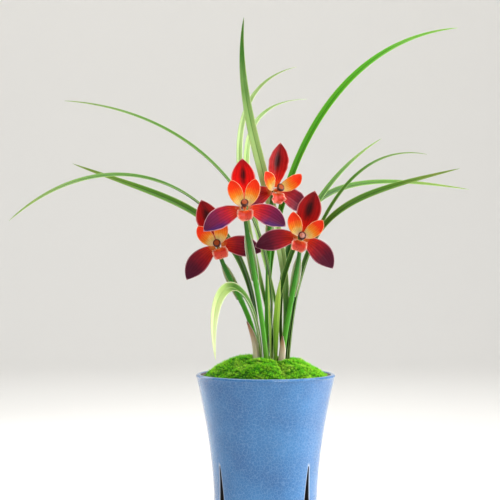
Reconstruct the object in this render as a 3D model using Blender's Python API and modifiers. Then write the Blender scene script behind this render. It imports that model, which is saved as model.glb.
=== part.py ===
"""A spring orchid in flower, in a tall flared pot topped with moss.

Units are metres and +Z is up. The origin is the middle of the pot's foot, on the surface that it stands on,
and the front, where the flowers face, is -Y. The plant is modelled round its crown, the spot on the planting
mix where every leaf and stem comes up, and each flower round its own middle.
"""

import math

import bmesh
import bpy
from mathutils import Matrix, Vector

MM = 0.001  # one millimetre, so that the sizes below read in millimetres

# ---------------------------------------------------------------- fits
GAP = 0.3 * MM  # left between two pieces that touch

# ---------------------------------------------------------------- the pot
POT_HEIGHT = 171 * MM
RIM_RADIUS = 57.5 * MM
WAIST_RADIUS = 42.3 * MM
WAIST_HEIGHT = 60 * MM
FOOT_RADIUS = 44.6 * MM
FLARE_POWER = 1.78  # how late the wall opens out above the waist
POT_WALL = 4.5 * MM
FLOOR_TOP = 46 * MM
FLOOR_THICKNESS = 6 * MM
DRAIN_RADIUS = 11 * MM
LIP_POINTS = 4  # points round the quarter circle of the lip
OUTSIDE_LEVELS = 12  # points down the outside of the wall
FOOT_LEVELS = 3  # up the inside of the foot
INSIDE_LEVELS = 9  # up the inside above the floor
POT_STEPS = 40  # flats round the pot
WELD = 0.01 * MM  # turned points closer than this are one

SLIT_APEX_DROP = 72.5 * MM  # from the rim down to the top of each slit
SLIT_FOOT_WIDTH = 18 * MM
SLIT_APEX_WIDTH = 1.4 * MM
SLIT_FLOOR_NOTCH = 5 * MM  # how far a slit runs into the floor, to drain it
SLIT_PAST_FOOT = 5 * MM  # how far its cutter reaches below the foot
SLIT_BEARINGS = (-57, 51, 177)  # degrees from the front; cut by hand, so not quite even

# ---------------------------------------------------------------- planting mix and moss
CROWN_OFFSET = 5 * MM  # the crown stands this far to the right of the pot's middle
CROWN_RADIUS = 17 * MM  # the clear round between the moss pads
MIX_RISE = 3 * MM  # the mix under the crown stands this far above the rim
MIX_DROP = 7 * MM  # and at the wall it lies this far below the rim
MIX_CRUMBS = 1 * MM  # room for loose crumbs between the mix and what stands or lies on it
MIX_LEVELS = 8  # points down its side

MOSS_RISE = 20 * MM  # top of the moss above the rim, next to the crown
MOSS_POWER = 1.9  # how round the moss dome is
MOSS_EDGE = 0.55  # share of its thickness that a pad keeps at its edges
MOSS_EDGE_POWER = 4  # how close to its edges a pad starts to thin
MOSS_CUTS = 5
MOSS_PADS = {  # bearings of both sides, in degrees from the front
    "moss_front": (-52, 12),
    "moss_right": (12, 98),
    "moss_back": (98, 196),
    "moss_left": (196, 308),
}

# ---------------------------------------------------------------- leaves
LEAF_THICKNESS = 0.6 * MM
LEAF_WIDTH = 8 * MM  # of a full-grown leaf at its widest
LEAF_FOLD_ROOT = 55  # degrees that each half is folded up from flat
LEAF_FOLD_TIP = 14
LEAF_ROWS = 20
LEAF_OPENING = 0.45  # share of the length over which it opens from the root to full width
LEAF_ROOT_WIDTH = 0.5  # width at the root, as a share of the widest
LEAF_TAPER_START = 0.5  # share of the length where it starts to taper
LEAF_TAPER_POWER = 2.2
LEAF_TIP_WIDTH = 0.07
LEAVES = (  # root in shares of the crown's radius; rise, arch and tip in mm from the crown; width as a share;
    # degrees turned at root and tip
    ("leaf_01", (-0.412, 0.235, 0), (24, 10, 129), (-63, -29, 211), (-162, -70, 214), 0.85, -40, -35),
    ("leaf_02", (-0.765, 0.235, 0), (1, 40, 143), (-126, -20, 202), (-192, -150, 119), 0.85, -30, -35),
    ("leaf_03", (-0.588, 0.529, 0), (-15, 40, 134), (-70, 32, 134), (-172, 60, 173), 1.0, -30, -75),
    ("leaf_04", (0.353, 0.059, 0), (36, 30, 100), (-36, 42, 193), (-23, 40, 297), 1.3, -65, -45),
    ("leaf_05", (-0.059, 0.765, 0), (13, 22, 48), (-83, 75, 233), (24, 110, 263), 0.8, 60, 5),
    ("leaf_06", (0.294, 0.706, 0), (25, 14, 56), (-83, 92, 228), (35, 148, 238), 0.8, 60, 5),
    ("leaf_07", (0.118, 0.382, 0), (-16, 44, 103), (28, 40, 276), (161, 50, 289), 0.95, 35, 60),
    ("leaf_08", (0, 0.059, 0), (0, -4, 70), (27, 20, 152), (99, 90, 197), 0.7, 30, 40),
    ("leaf_09", (0.706, 0.147, 0), (16, 3, 56), (44, 9, 193), (130, 15, 178), 0.7, 30, 30),
    ("leaf_10", (0.588, 0.471, 0), (-4, 28, 155), (53, 95, 171), (185, 145, 154), 0.9, 35, 50),
    ("leaf_11", (0.824, -0.176, 0), (24, -2, 130), (47, -4, 139), (147, -60, 162), 1.0, 50, 70),
    ("leaf_12", (-0.529, -0.235, 0), (-12, -26, 87), (-57, -15, 89), (-45, -45, 10), 1.35, -60, -60),
    ("leaf_13", (-0.059, -0.235, 0), (-2, -4, 27), (-3, -5, 54), (-3, -6, 78), 0.5, -70, -70),
    ("leaf_14", (0.2, -0.33, 0), (3, -6, 28), (4, -6, 52), (7, -7, 74), 0.75, -70, -70),
)

# ---------------------------------------------------------------- flower stems
STEM_RADIUS = 2.1 * MM
NECK_RADIUS = 1.5 * MM  # where the stem meets the back of the flower
NECK_BACK = 9 * MM  # the stem swings this far behind its flower
NECK_DROP = 20 * MM  # and comes up from this far below it
NECK_START = 0.6  # share of the stem's length where it starts to slim to its neck
STEM_POINTS = 13
BRACT_THICKNESS = 0.5 * MM
BRACT_BELLY = 1.3 * MM  # how far a bract stands off both sides of its stem halfway up
BRACT_WRAP = 75  # degrees that a bract reaches round the stem from its back, each way
SHEATH_WRAP = 105  # the same for a dry sheath
BRACT_POINT = 0.12  # share of that reach that is left at its point
BRACT_TAPER = 1.6
BRACT_ROWS = 8
BRACT_COLUMNS = 5
SHEATH_START = 0.02  # share of its stem that a dry sheath starts at

# ---------------------------------------------------------------- flowers
TEPAL_THICKNESS = 0.8 * MM
TEPAL_COLUMNS = 4
TEPAL_ROWS = 7
TEPAL_TIP_WIDTH = 0.06
SEPAL_TAPER_POWER = 1.9  # under 2 a sepal runs out to a sharp point
PETAL_TAPER_POWER = 1.35
PETAL_TAPER_ROUND = 0.8  # under 1 the outline is rounder before its tip
COLUMN_RADIUS = 1.7 * MM
COLUMN_LENGTH = 11 * MM
COLUMN_RISE = 14  # degrees that the column tips up over its length
COLUMN_SHAPE = ((0, 1.0), (0.35, 0.95), (0.6, 1.2), (0.7, 1.8), (0.85, 2.05), (0.97, 1.5), (1, 0.7))
TEPALS = {  # bearing in the flower, length, width, share of the length where it is widest, base width,
    # start from the axis, start ahead, degrees forward at its base and at its tip, cup, sickle in degrees
    "dorsal_sepal": (0, 38, 19.5, 0.58, 4.5, 2.6, 0.0, 6, 18, 0.28, 0),
    "left_sepal": (-102, 35.5, 17, 0.55, 4.5, 2.6, 0.0, 6, 2, 0.22, -31),
    "right_sepal": (102, 33.5, 17, 0.55, 4.5, 2.6, 0.0, 6, 2, 0.22, 32),
    "left_petal": (-40, 23, 11.5, 0.55, 3.6, 3.0, 2.2, 42, 20, 0.35, 30),
    "right_petal": (40, 23, 11.5, 0.55, 3.6, 3.0, 2.2, 42, 20, 0.35, -30),
    "lip": (180, 11, 13, 0.45, 3.6, 2.5, 2.4, 75, -60, 0.35, 0),
}
FLOWERS = {  # middle in mm from the crown; degrees that it looks right, looks up and leans to the right;
    # degrees that its petals spread past the bearings in TEPALS
    "flower_a": ((-22, -38, 131), 0, 13, -3, 0),
    "flower_b": ((-44, -8, 101.5), 0, 0, -20, 0),
    "flower_c": ((23.5, -20, 108), 0, -3, 16, 8),
    "flower_d": ((2.5, 20, 148), 30, 0, 2, 26),
}
STEMS = {  # flower, root as LEAVES has it, rise in mm, share of the stem that its bract starts and ends at
    "stem_a": ("flower_a", (-0.265, -0.541, 0), (-5, -13, 42), 0.5, 0.84),
    "stem_b": ("flower_b", (-0.776, -0.171, 0), (-6, -4, 39), 0.5, 0.84),
    "stem_c": ("flower_c", (0.471, -0.294, 0), (10, -8, 35), 0.5, 0.84),
    "stem_d": ("flower_d", (-0.235, 0.471, 0), (-4, 7, 46), 0.6, 0.86),
}
SHEATHS = {  # dry sheaths round the foot of a stem: stem, share that they end at, bearing they open to
    "sheath_left": ("stem_b", 0.34, 130),
    "sheath_right": ("stem_c", 0.24, 130),
}

LOOKS = {  # colour and roughness
    "glaze": ((0.07, 0.20, 0.43), 0.25),
    "bark": ((0.09, 0.05, 0.03), 0.9),
    "moss": ((0.17, 0.55, 0.02), 0.95),
    "leaf": ((0.10, 0.30, 0.03), 0.4),
    "stem": ((0.22, 0.42, 0.06), 0.45),
    "bract": ((0.62, 0.72, 0.40), 0.5),
    "sheath": ((0.62, 0.48, 0.33), 0.6),
    "sepal": ((0.35, 0.01, 0.03), 0.45),
    "petal": ((0.75, 0.10, 0.02), 0.45),
    "lip": ((0.70, 0.18, 0.14), 0.45),
    "column": ((0.35, 0.10, 0.02), 0.35),
}

UP = Vector((0, 0, 1))


# ---------------------------------------------------------------- helpers
def clear_scene():
    """Removes what the file opened with and returns the collections for the parts and for the cutters."""
    for thing in list(bpy.data.objects):
        bpy.data.objects.remove(thing, do_unlink=True)
    parts = bpy.data.collections.new("potted_orchid")
    cutters = bpy.data.collections.new("cutters")
    bpy.context.scene.collection.children.link(parts)
    bpy.context.scene.collection.children.link(cutters)
    return parts, cutters


def add_piece(name, data, look, parent=None):
    """Makes a named object with a material of its own and hangs it on its parent."""
    piece = bpy.data.objects.new(name, data)
    PARTS.objects.link(piece)
    piece.parent = parent
    colour, roughness = LOOKS[look]
    material = bpy.data.materials.new(name)
    material.use_nodes = True
    shader = material.node_tree.nodes["Principled BSDF"]
    shader.inputs["Base Color"].default_value = (*colour, 1)
    shader.inputs["Roughness"].default_value = roughness
    shader.inputs["Metallic"].default_value = 0
    data.materials.append(material)
    return piece


def to_mesh(name, shape):
    """Turns a bmesh into a mesh that is shaded smooth."""
    mesh = bpy.data.meshes.new(name)
    shape.to_mesh(mesh)
    shape.free()
    mesh.shade_smooth()
    return mesh


def add_empty(name, matrix, parent=None):
    """Makes an empty that pieces are modelled round."""
    empty = bpy.data.objects.new(name, None)
    PARTS.objects.link(empty)
    empty.parent = parent
    empty.matrix_local = matrix
    return empty


def turned(name, look, profile, steps):
    """Spins a profile of (radius, height) points, which runs down its outer side, round the Z axis."""
    shape = bmesh.new()
    corners = [shape.verts.new((radius, 0, height)) for radius, height in profile]
    for first, second in zip(corners, corners[1:]):
        shape.edges.new((first, second))
    if profile[0][0] > 0:
        shape.edges.new((corners[-1], corners[0]))
    piece = add_piece(name, to_mesh(name, shape), look)
    screw = piece.modifiers.new("turn", "SCREW")
    screw.steps = steps
    screw.render_steps = steps
    screw.use_merge_vertices = True
    screw.merge_threshold = WELD
    screw.use_smooth_shade = True
    return piece


def sheet(name, look, columns, rows, thickness, place, parent):
    """Bends a flat grid by place(across from -1 to 1, along from 0 to 1) and thickens it both ways."""
    shape = bmesh.new()
    bmesh.ops.create_grid(shape, x_segments=columns, y_segments=rows, size=1)
    for corner in shape.verts:
        corner.co = place(corner.co.x, (corner.co.y + 1) / 2)
    piece = add_piece(name, to_mesh(name, shape), look, parent)
    solidify = piece.modifiers.new("thickness", "SOLIDIFY")
    solidify.thickness = thickness
    solidify.offset = 0
    return piece


def tube(name, look, points, radii, parent):
    """A round bar through points, as a curve with its own radius at each."""
    curve = bpy.data.curves.new(name, "CURVE")
    curve.dimensions = "3D"
    curve.bevel_depth = 1
    curve.bevel_resolution = 2
    curve.use_fill_caps = True
    spline = curve.splines.new("POLY")
    spline.points.add(len(points) - 1)
    for knot, point, radius in zip(spline.points, points, radii):
        knot.co = (*point, 1)
        knot.radius = radius
    return add_piece(name, curve, look, parent)


def along(route, share):
    """The point a share of the way along a cubic curve through its root, rise, arch and tip."""
    root, rise, arch, tip = route
    left = 1 - share
    near_root = root * left**3 + rise * (3 * left * left * share)
    return near_root + arch * (3 * left * share * share) + tip * share**3


def heading(route, share):
    """The direction of that curve there."""
    root, rise, arch, tip = route
    left = 1 - share
    slope = (rise - root) * left**2 + (arch - rise) * (2 * left * share) + (tip - arch) * share**2
    return slope.normalized()


def from_crown(root, *points):
    """A root in shares of the crown's radius and the points after it in mm, all in metres from the crown."""
    return [Vector(root) * CROWN_RADIUS, *(Vector(point) * MM for point in points)]


def on_bearing(bearing):
    """A level direction, counted in degrees from the front towards the right."""
    angle = math.radians(bearing)
    return Vector((math.sin(angle), -math.cos(angle), 0))


# ---------------------------------------------------------------- the pot
def pot_radius(height):
    """The outside radius of the pot at a height."""
    if height < WAIST_HEIGHT:
        return WAIST_RADIUS + (FOOT_RADIUS - WAIST_RADIUS) * (1 - height / WAIST_HEIGHT) ** 2
    share = (height - WAIST_HEIGHT) / (POT_HEIGHT - WAIST_HEIGHT)
    return WAIST_RADIUS + (RIM_RADIUS - WAIST_RADIUS) * share**FLARE_POWER


def evenly(first, last, count):
    return [first + (last - first) * step / (count - 1) for step in range(count)]


def build_pot():
    """The wall, foot and floor in one turned profile, with the slits cut out of its lower wall."""
    half_wall = POT_WALL / 2
    lip_height = POT_HEIGHT - half_wall
    lip_middle = RIM_RADIUS - half_wall
    floor_bottom = FLOOR_TOP - FLOOR_THICKNESS
    profile = []
    for angle in evenly(math.pi / 2, 0, LIP_POINTS):
        profile.append((lip_middle + half_wall * math.cos(angle), lip_height + half_wall * math.sin(angle)))
    for height in evenly(lip_height, 0, OUTSIDE_LEVELS)[1:]:
        profile.append((pot_radius(height), height))
    for height in evenly(0, floor_bottom, FOOT_LEVELS):
        profile.append((pot_radius(height) - POT_WALL, height))
    profile.append((DRAIN_RADIUS, floor_bottom))
    profile.append((DRAIN_RADIUS, FLOOR_TOP))
    for height in evenly(FLOOR_TOP, lip_height, INSIDE_LEVELS):
        profile.append((pot_radius(height) - POT_WALL, height))
    for angle in evenly(math.pi, math.pi / 2, LIP_POINTS)[1:-1]:
        profile.append((lip_middle + half_wall * math.cos(angle), lip_height + half_wall * math.sin(angle)))
    pot = turned("pot", "glaze", profile, POT_STEPS)
    for number, bearing in enumerate(SLIT_BEARINGS):
        slit = pot.modifiers.new(f"slit_{number}", "BOOLEAN")
        slit.operation = "DIFFERENCE"
        slit.solver = "EXACT"
        slit.object = slit_cutter(f"slit_cutter_{number}", bearing)


def slit_cutter(name, bearing):
    """A wedge, narrow at its top, that stands across the wall and reaches below the foot."""
    inner = min(WAIST_RADIUS, FOOT_RADIUS) - POT_WALL - SLIT_FLOOR_NOTCH
    outer = max(RIM_RADIUS, FOOT_RADIUS) + POT_WALL
    apex = POT_HEIGHT - SLIT_APEX_DROP
    bottom_width = SLIT_FOOT_WIDTH + (SLIT_FOOT_WIDTH - SLIT_APEX_WIDTH) * SLIT_PAST_FOOT / apex
    shape = bmesh.new()
    bmesh.ops.create_cube(shape, size=1)
    for corner in shape.verts:
        width = SLIT_APEX_WIDTH if corner.co.z > 0 else bottom_width
        corner.co.x = corner.co.x * width
        corner.co.y = (inner + outer) / 2 + corner.co.y * (outer - inner)
        corner.co.z = apex if corner.co.z > 0 else -SLIT_PAST_FOOT
    mesh = bpy.data.meshes.new(name)
    shape.to_mesh(mesh)
    shape.free()
    cutter = bpy.data.objects.new(name, mesh)
    CUTTERS.objects.link(cutter)
    cutter.rotation_euler.z = math.radians(bearing + 180)
    cutter.hide_render = True
    cutter.display_type = "WIRE"
    return cutter


# ---------------------------------------------------------------- planting mix and moss
def mix_height(radius):
    """The top of the planting mix: level under the crown, then sloping down to the wall."""
    level = CROWN_OFFSET + CROWN_RADIUS
    wall = pot_radius(POT_HEIGHT - MIX_DROP) - POT_WALL
    slope = max(0, (radius - level) / (wall - level))
    return POT_HEIGHT + MIX_RISE - (MIX_RISE + MIX_DROP) * slope


def build_mix():
    """The bark mix that fills the pot from its floor up."""
    wall_top = POT_HEIGHT - MIX_DROP
    profile = [(0, mix_height(0)), (CROWN_OFFSET + CROWN_RADIUS, mix_height(0))]
    for height in evenly(wall_top, FLOOR_TOP + GAP, MIX_LEVELS):
        profile.append((pot_radius(height) - POT_WALL - GAP, height))
    profile.append((0, FLOOR_TOP + GAP))
    turned("growing_medium", "bark", profile, POT_STEPS)


def moss_height(radius):
    """The top of the moss: a dome that comes down to the rim at the wall."""
    share = min(1, radius / (RIM_RADIUS - POT_WALL))
    return POT_HEIGHT + MOSS_RISE * (1 - share**MOSS_POWER)


def build_moss():
    """Cushions of moss that ring the crown, each a block bent round it and domed."""
    wall = pot_radius(POT_HEIGHT - MIX_DROP) - POT_WALL - GAP
    middle = Vector((CROWN_OFFSET, 0, 0))
    for name, (first, last) in MOSS_PADS.items():
        shape = bmesh.new()
        bmesh.ops.create_cube(shape, size=1)
        bmesh.ops.subdivide_edges(shape, edges=shape.edges[:], cuts=MOSS_CUTS, use_grid_fill=True)
        for corner in shape.verts:
            turn, out, rise = (value + 0.5 for value in corner.co)
            direction = on_bearing(first + (last - first) * (1 - turn))
            nearest = middle.dot(direction)
            reach = math.sqrt(wall**2 - middle.length_squared + nearest**2) - nearest
            distance = CROWN_RADIUS + (reach - CROWN_RADIUS) * out
            spot = middle + direction * distance
            sideways = direction.cross(UP) * (GAP / 2 * (1 - 2 * turn))
            edge = max(abs(2 * turn - 1), abs(2 * out - 1)) ** MOSS_EDGE_POWER
            bottom = mix_height(spot.length) + MIX_CRUMBS
            top = bottom + (moss_height(spot.length) - bottom) * (1 - (1 - MOSS_EDGE) * edge)
            corner.co = spot + sideways
            corner.co.z = bottom + (top - bottom) * rise
        add_piece(name, to_mesh(name, shape), "moss")


# ---------------------------------------------------------------- leaves
def leaf_outline(share):
    """The width of a leaf as a share of its widest: slim at the root, then a long taper to the tip."""
    opened = math.sin(math.pi / 2 * min(1, share / LEAF_OPENING))
    taper = max(0, (share - LEAF_TAPER_START) / (1 - LEAF_TAPER_START)) ** LEAF_TAPER_POWER
    return (LEAF_ROOT_WIDTH + (1 - LEAF_ROOT_WIDTH) * opened) * (1 - (1 - LEAF_TIP_WIDTH) * taper)


def build_leaf(name, route, width, turn_root, turn_tip, crown):
    """A long leaf folded along its midrib, which turns a little round itself on its way to the tip."""
    reach = route[-1] - route[0]
    level = reach.cross(UP).normalized()

    def place(across, share):
        forward = heading(route, share)
        side = (level - forward * level.dot(forward)).normalized()
        face = side.cross(forward)
        turn = Matrix.Rotation(math.radians(turn_root + (turn_tip - turn_root) * share), 3, forward)
        side = turn @ side
        face = turn @ face
        fold = math.radians(LEAF_FOLD_ROOT + (LEAF_FOLD_TIP - LEAF_FOLD_ROOT) * share)
        half = width / 2 * leaf_outline(share)
        flat = side * (across * half * math.cos(fold))
        return along(route, share) + flat + face * (abs(across) * half * math.sin(fold))

    sheet(name, "leaf", 2, LEAF_ROWS, LEAF_THICKNESS, place, crown)


# ---------------------------------------------------------------- flowers
def flower_matrix(name):
    """Carries a flower's own axes (right, up its dorsal sepal, the way it looks) to the crown's."""
    middle, right, up, lean, _ = FLOWERS[name]
    return (
        Matrix.Translation(Vector(middle) * MM)
        @ Matrix.Rotation(math.radians(right), 4, "Z")
        @ Matrix.Rotation(math.radians(90 - up), 4, "X")
        @ Matrix.Rotation(math.radians(-lean), 4, "Z")
    )


def tepal_outline(share, widest, base, pointed):
    """The half width of a sepal, petal or lip as a share: a sepal ends in a point, the others round off."""
    if share < widest:
        return base + (1 - base) * math.sin(math.pi / 2 * share / widest)
    past = (share - widest) / (1 - widest)
    left = 1 - past**SEPAL_TAPER_POWER
    if not pointed:
        left = math.cos(math.pi / 2 * past**PETAL_TAPER_POWER) ** PETAL_TAPER_ROUND
    return TEPAL_TIP_WIDTH + (1 - TEPAL_TIP_WIDTH) * left


def build_tepal(name, sizes, spread, flower):
    """A sepal, petal or lip: a cupped sheet on a spine that tips forward and bends sideways."""
    bearing, length, width, widest, base, start, ahead, tilt_base, tilt_tip, cup, sickle = sizes
    look = "sepal" if "sepal" in name else "petal" if "petal" in name else "lip"
    if look == "petal":
        bearing += math.copysign(spread, bearing)

    def place(across, share):
        first = math.radians(tilt_base)
        bend = math.radians(tilt_tip - tilt_base)
        tilt = first + bend * share
        out = start + length * (math.sin(tilt) - math.sin(first)) / bend
        forward = ahead - length * (math.cos(tilt) - math.cos(first)) / bend
        middle = math.radians(bearing + sickle * share / 2)
        here = math.radians(bearing + sickle * share)
        outward = Vector((math.sin(here), math.cos(here), 0))
        side = Vector((math.cos(here), -math.sin(here), 0))
        face = Vector((0, 0, math.cos(tilt))) - outward * math.sin(tilt)
        half = width / 2 * tepal_outline(share, widest, base / width, look == "sepal")
        spot = Vector((math.sin(middle) * out, math.cos(middle) * out, forward))
        return (spot + side * (across * half) + face * (cup * half * across**2)) * MM

    sheet(name, look, TEPAL_COLUMNS, TEPAL_ROWS, TEPAL_THICKNESS, place, flower)


def build_column(name, flower):
    """The column: a short bar that arches up over the lip and ends in its round anther cap."""
    points = []
    radii = []
    rise = math.radians(COLUMN_RISE)
    for share, swell in COLUMN_SHAPE:
        up = COLUMN_LENGTH * (1 - math.cos(rise * share * 2)) / (rise * 2)
        forward = COLUMN_LENGTH * math.sin(rise * share * 2) / (rise * 2)
        points.append(Vector((0, up, forward + TEPAL_THICKNESS)))
        radii.append(COLUMN_RADIUS * swell)
    tube(name, "column", points, radii, flower)


def stem_route(name):
    """A stem's root, rise, arch and end, just behind its flower."""
    flower, root, rise, _, _ = STEMS[name]
    matrix = flower_matrix(flower)
    middle = matrix.translation
    facing = matrix.to_3x3() @ Vector((0, 0, 1))
    end = middle - facing * (TEPAL_THICKNESS / 2 + GAP + NECK_RADIUS)
    arch = middle - facing * NECK_BACK - UP * NECK_DROP
    return [*from_crown(root, rise), arch, end]


def build_stem(name, crown):
    """A flower stem that slims to its neck."""
    route = stem_route(name)
    shares = evenly(0, 1, STEM_POINTS)
    points = [along(route, share) for share in shares]
    slimmed = [max(0, share - NECK_START) / (1 - NECK_START) for share in shares]
    radii = [STEM_RADIUS + (NECK_RADIUS - STEM_RADIUS) * done for done in slimmed]
    tube(name, "stem", points, radii, crown)


def build_wrap(name, look, stem, first, last, opens, wrap, belly, crown):
    """A bract or dry sheath: a boat-shaped sheet that wraps the back of its stem and runs out to a point."""
    route = stem_route(stem)
    open_way = on_bearing(opens)
    nearest = STEM_RADIUS + 2 * GAP + BRACT_THICKNESS / 2

    def place(across, share):
        spot = first + (last - first) * share
        forward = heading(route, spot)
        front = (open_way - forward * open_way.dot(forward)).normalized()
        side = forward.cross(front)
        taper = BRACT_POINT + (1 - BRACT_POINT) * math.cos(math.pi / 2 * share**BRACT_TAPER)
        reach = math.radians(wrap * taper)
        broad = nearest + belly * math.sin(math.pi * share)
        angle = across * reach
        return along(route, spot) + side * (broad * math.sin(angle)) - front * (nearest * math.cos(angle))

    sheet(name, look, BRACT_COLUMNS, BRACT_ROWS, BRACT_THICKNESS, place, crown)


def build_plant():
    """Every leaf, stem, bract, sheath and flower, round the crown."""
    level = mix_height(0) + MIX_CRUMBS
    crown = add_empty("crown", Matrix.Translation((CROWN_OFFSET, 0, level)))
    for name, root, rise, arch, tip, share, turn_root, turn_tip in LEAVES:
        build_leaf(name, from_crown(root, rise, arch, tip), LEAF_WIDTH * share, turn_root, turn_tip, crown)
    for name, (flower, _, _, first, last) in STEMS.items():
        build_stem(name, crown)
        bract = name.replace("stem", "bract")
        build_wrap(bract, "bract", name, first, last, 0, BRACT_WRAP, BRACT_BELLY, crown)
    for name, (stem, last, opens) in SHEATHS.items():
        build_wrap(name, "sheath", stem, SHEATH_START, last, opens, SHEATH_WRAP, 0, crown)
    for name, (*_, spread) in FLOWERS.items():
        flower = add_empty(name + "_middle", flower_matrix(name), crown)
        for tepal, sizes in TEPALS.items():
            build_tepal(f"{name}_{tepal}", sizes, spread, flower)
        build_column(f"{name}_column", flower)


PARTS, CUTTERS = clear_scene()
build_pot()
build_mix()
build_moss()
build_plant()
bpy.context.view_layer.update()
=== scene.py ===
# %% [markdown]
# # A spring orchid in a tall slit pot
#
# The real thing is a grass-leaved spring orchid: fourteen arching leaves and four flower stems come up from
# one crown, through a dome of cushion moss, in a tall flared pot with a blue crackle glaze. The CAD model
# already holds every piece at its real size and place. This lesson gives each piece its surface: a finer
# mesh where the CAD one is coarse, and a material that is worked out from what the real one is made of.

import math
import random
from functools import partial

import bmesh
import bpy
from mathutils import Matrix, Vector, noise


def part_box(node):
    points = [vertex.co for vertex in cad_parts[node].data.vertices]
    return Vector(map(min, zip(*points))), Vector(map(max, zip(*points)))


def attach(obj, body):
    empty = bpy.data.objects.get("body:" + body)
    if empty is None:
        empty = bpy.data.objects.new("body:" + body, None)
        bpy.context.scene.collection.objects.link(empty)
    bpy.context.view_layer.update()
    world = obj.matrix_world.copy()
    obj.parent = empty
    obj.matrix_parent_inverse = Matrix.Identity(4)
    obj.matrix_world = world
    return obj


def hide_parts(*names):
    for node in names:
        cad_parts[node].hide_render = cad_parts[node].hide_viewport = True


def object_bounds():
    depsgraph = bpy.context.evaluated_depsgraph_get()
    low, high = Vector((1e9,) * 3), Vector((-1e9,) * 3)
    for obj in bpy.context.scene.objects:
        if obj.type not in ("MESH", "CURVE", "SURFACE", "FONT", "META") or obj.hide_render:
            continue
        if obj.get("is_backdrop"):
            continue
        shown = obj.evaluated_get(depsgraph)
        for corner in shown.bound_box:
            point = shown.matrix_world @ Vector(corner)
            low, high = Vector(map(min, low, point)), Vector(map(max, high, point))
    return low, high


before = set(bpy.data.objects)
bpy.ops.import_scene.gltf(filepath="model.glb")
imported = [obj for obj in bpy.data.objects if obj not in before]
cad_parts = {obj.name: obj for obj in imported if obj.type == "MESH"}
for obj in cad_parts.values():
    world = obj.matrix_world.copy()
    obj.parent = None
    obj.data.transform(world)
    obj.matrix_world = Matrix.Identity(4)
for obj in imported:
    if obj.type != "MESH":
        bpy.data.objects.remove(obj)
cad_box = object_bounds()
MM = 0.001
print("the CAD box runs from", [round(v, 4) for v in cad_box[0]], "to", [round(v, 4) for v in cad_box[1]])

# %% [markdown]
# ## Camera
# The camera stands level in front of the pot, a little to its left, at two thirds of the plant's height. It
# is 1.2 m away with a long lens, so leaves that lean forward look only a little larger than those behind.

# %% Camera
CAMERA_SPOT = Vector((-0.0128, -1.2, 0.273))
CAMERA_LENS = 104.65  # mm, on a 36 mm wide sensor

camera_data = bpy.data.cameras.new("camera")
camera_data.lens = CAMERA_LENS
camera_data.sensor_width = 36
camera = bpy.data.objects.new("camera", camera_data)
camera.location = CAMERA_SPOT
camera.rotation_euler = (math.radians(90), 0, 0)
bpy.context.scene.collection.objects.link(camera)
bpy.context.scene.camera = camera
print("the view is", round(math.degrees(camera_data.angle), 1), "degrees wide")

# %% [markdown]
# ## Tools for meshes
# Nearly everything on an orchid is a thin sheet that bends: leaves, sepals, petals, the lip, bracts and
# sheaths. A sheet starts as a flat grid, and a function of two numbers says where each point goes:
# `across`, from -1 at one edge to 1 at the other, and `along`, from 0 at the base to 1 at the tip. The two
# numbers stay on the points as an attribute called `blade`, so a material can put its veins and margins
# where they belong, however the sheet bends. Solidify then thickens it, less at its edges than in its
# middle.


# %% Grid, sheet and tube
def link_piece(name, mesh, *materials):
    """Makes the object, smooth and with its materials."""
    mesh.shade_smooth()
    for material in materials:
        mesh.materials.append(material)
    piece = bpy.data.objects.new(name, mesh)
    bpy.context.scene.collection.objects.link(piece)
    return piece


def take_mesh(name, shape):
    """The mesh of a bmesh, which is then freed."""
    mesh = bpy.data.meshes.new(name)
    shape.to_mesh(mesh)
    shape.free()
    return mesh


def keep_blade(mesh, values):
    """Stores (across, along, spare) on every point of a mesh."""
    attribute = mesh.attributes.new("blade", "FLOAT_VECTOR", "POINT")
    attribute.data.foreach_set("vector", [number for value in values for number in value])


def belt_faces(rings, sides):
    """The four-cornered faces between rings of points that are listed ring by ring."""
    for first in range(0, (rings - 1) * sides, sides):
        for number in range(sides):
            here = first + number
            beside = first + (number + 1) % sides
            yield here, beside, beside + sides, here + sides


def sheet(name, material, columns, rows, thickness, place, edge=0.4, flip=1):
    """A bent sheet; edge is the share of its thickness that is left at its margins."""
    shape = bmesh.new()
    bmesh.ops.create_grid(shape, x_segments=columns, y_segments=rows, size=1)
    spots = [(corner.co.x, (corner.co.y + 1) / 2) for corner in shape.verts]
    for corner, (across, share) in zip(shape.verts, spots):
        corner.co = place(across, share)
    mesh = take_mesh(name, shape)
    keep_blade(mesh, [(flip * across, share, 0) for across, share in spots])
    piece = link_piece(name, mesh, material)
    body = piece.vertex_groups.new(name="body")
    for index, (across, share) in enumerate(spots):
        body.add([index], (1 - across**4) * (1 - share**8), "REPLACE")
    solidify = piece.modifiers.new("thickness", "SOLIDIFY")
    solidify.thickness = thickness
    solidify.offset = 0
    solidify.vertex_group = body.name
    solidify.thickness_vertex_group = edge
    return piece


def tube(name, material, sides, rings, centre, radius, across=Vector((1, 0, 0))):
    """A closed round bar: centre(share) gives its middle line and radius(share, angle) its section."""
    corners = []
    blade = []
    step = 1 / (rings - 1)
    for ring in range(rings):
        share = ring * step
        ahead = (centre(min(1, share + step / 2)) - centre(max(0, share - step / 2))).normalized()
        side = (across - ahead * across.dot(ahead)).normalized()
        up = ahead.cross(side)
        for number in range(sides):
            angle = 2 * math.pi * number / sides
            reach = radius(share, angle)
            corners.append(centre(share) + side * (reach * math.cos(angle)) + up * (reach * math.sin(angle)))
            blade.append((math.cos(angle), share, math.sin(angle)))
    end = range((rings - 1) * sides, rings * sides)
    faces = [tuple(reversed(range(sides))), *belt_faces(rings, sides), tuple(end)]
    mesh = bpy.data.meshes.new(name)
    mesh.from_pydata(corners, [], faces)
    keep_blade(mesh, blade)
    return link_piece(name, mesh, material)


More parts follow.
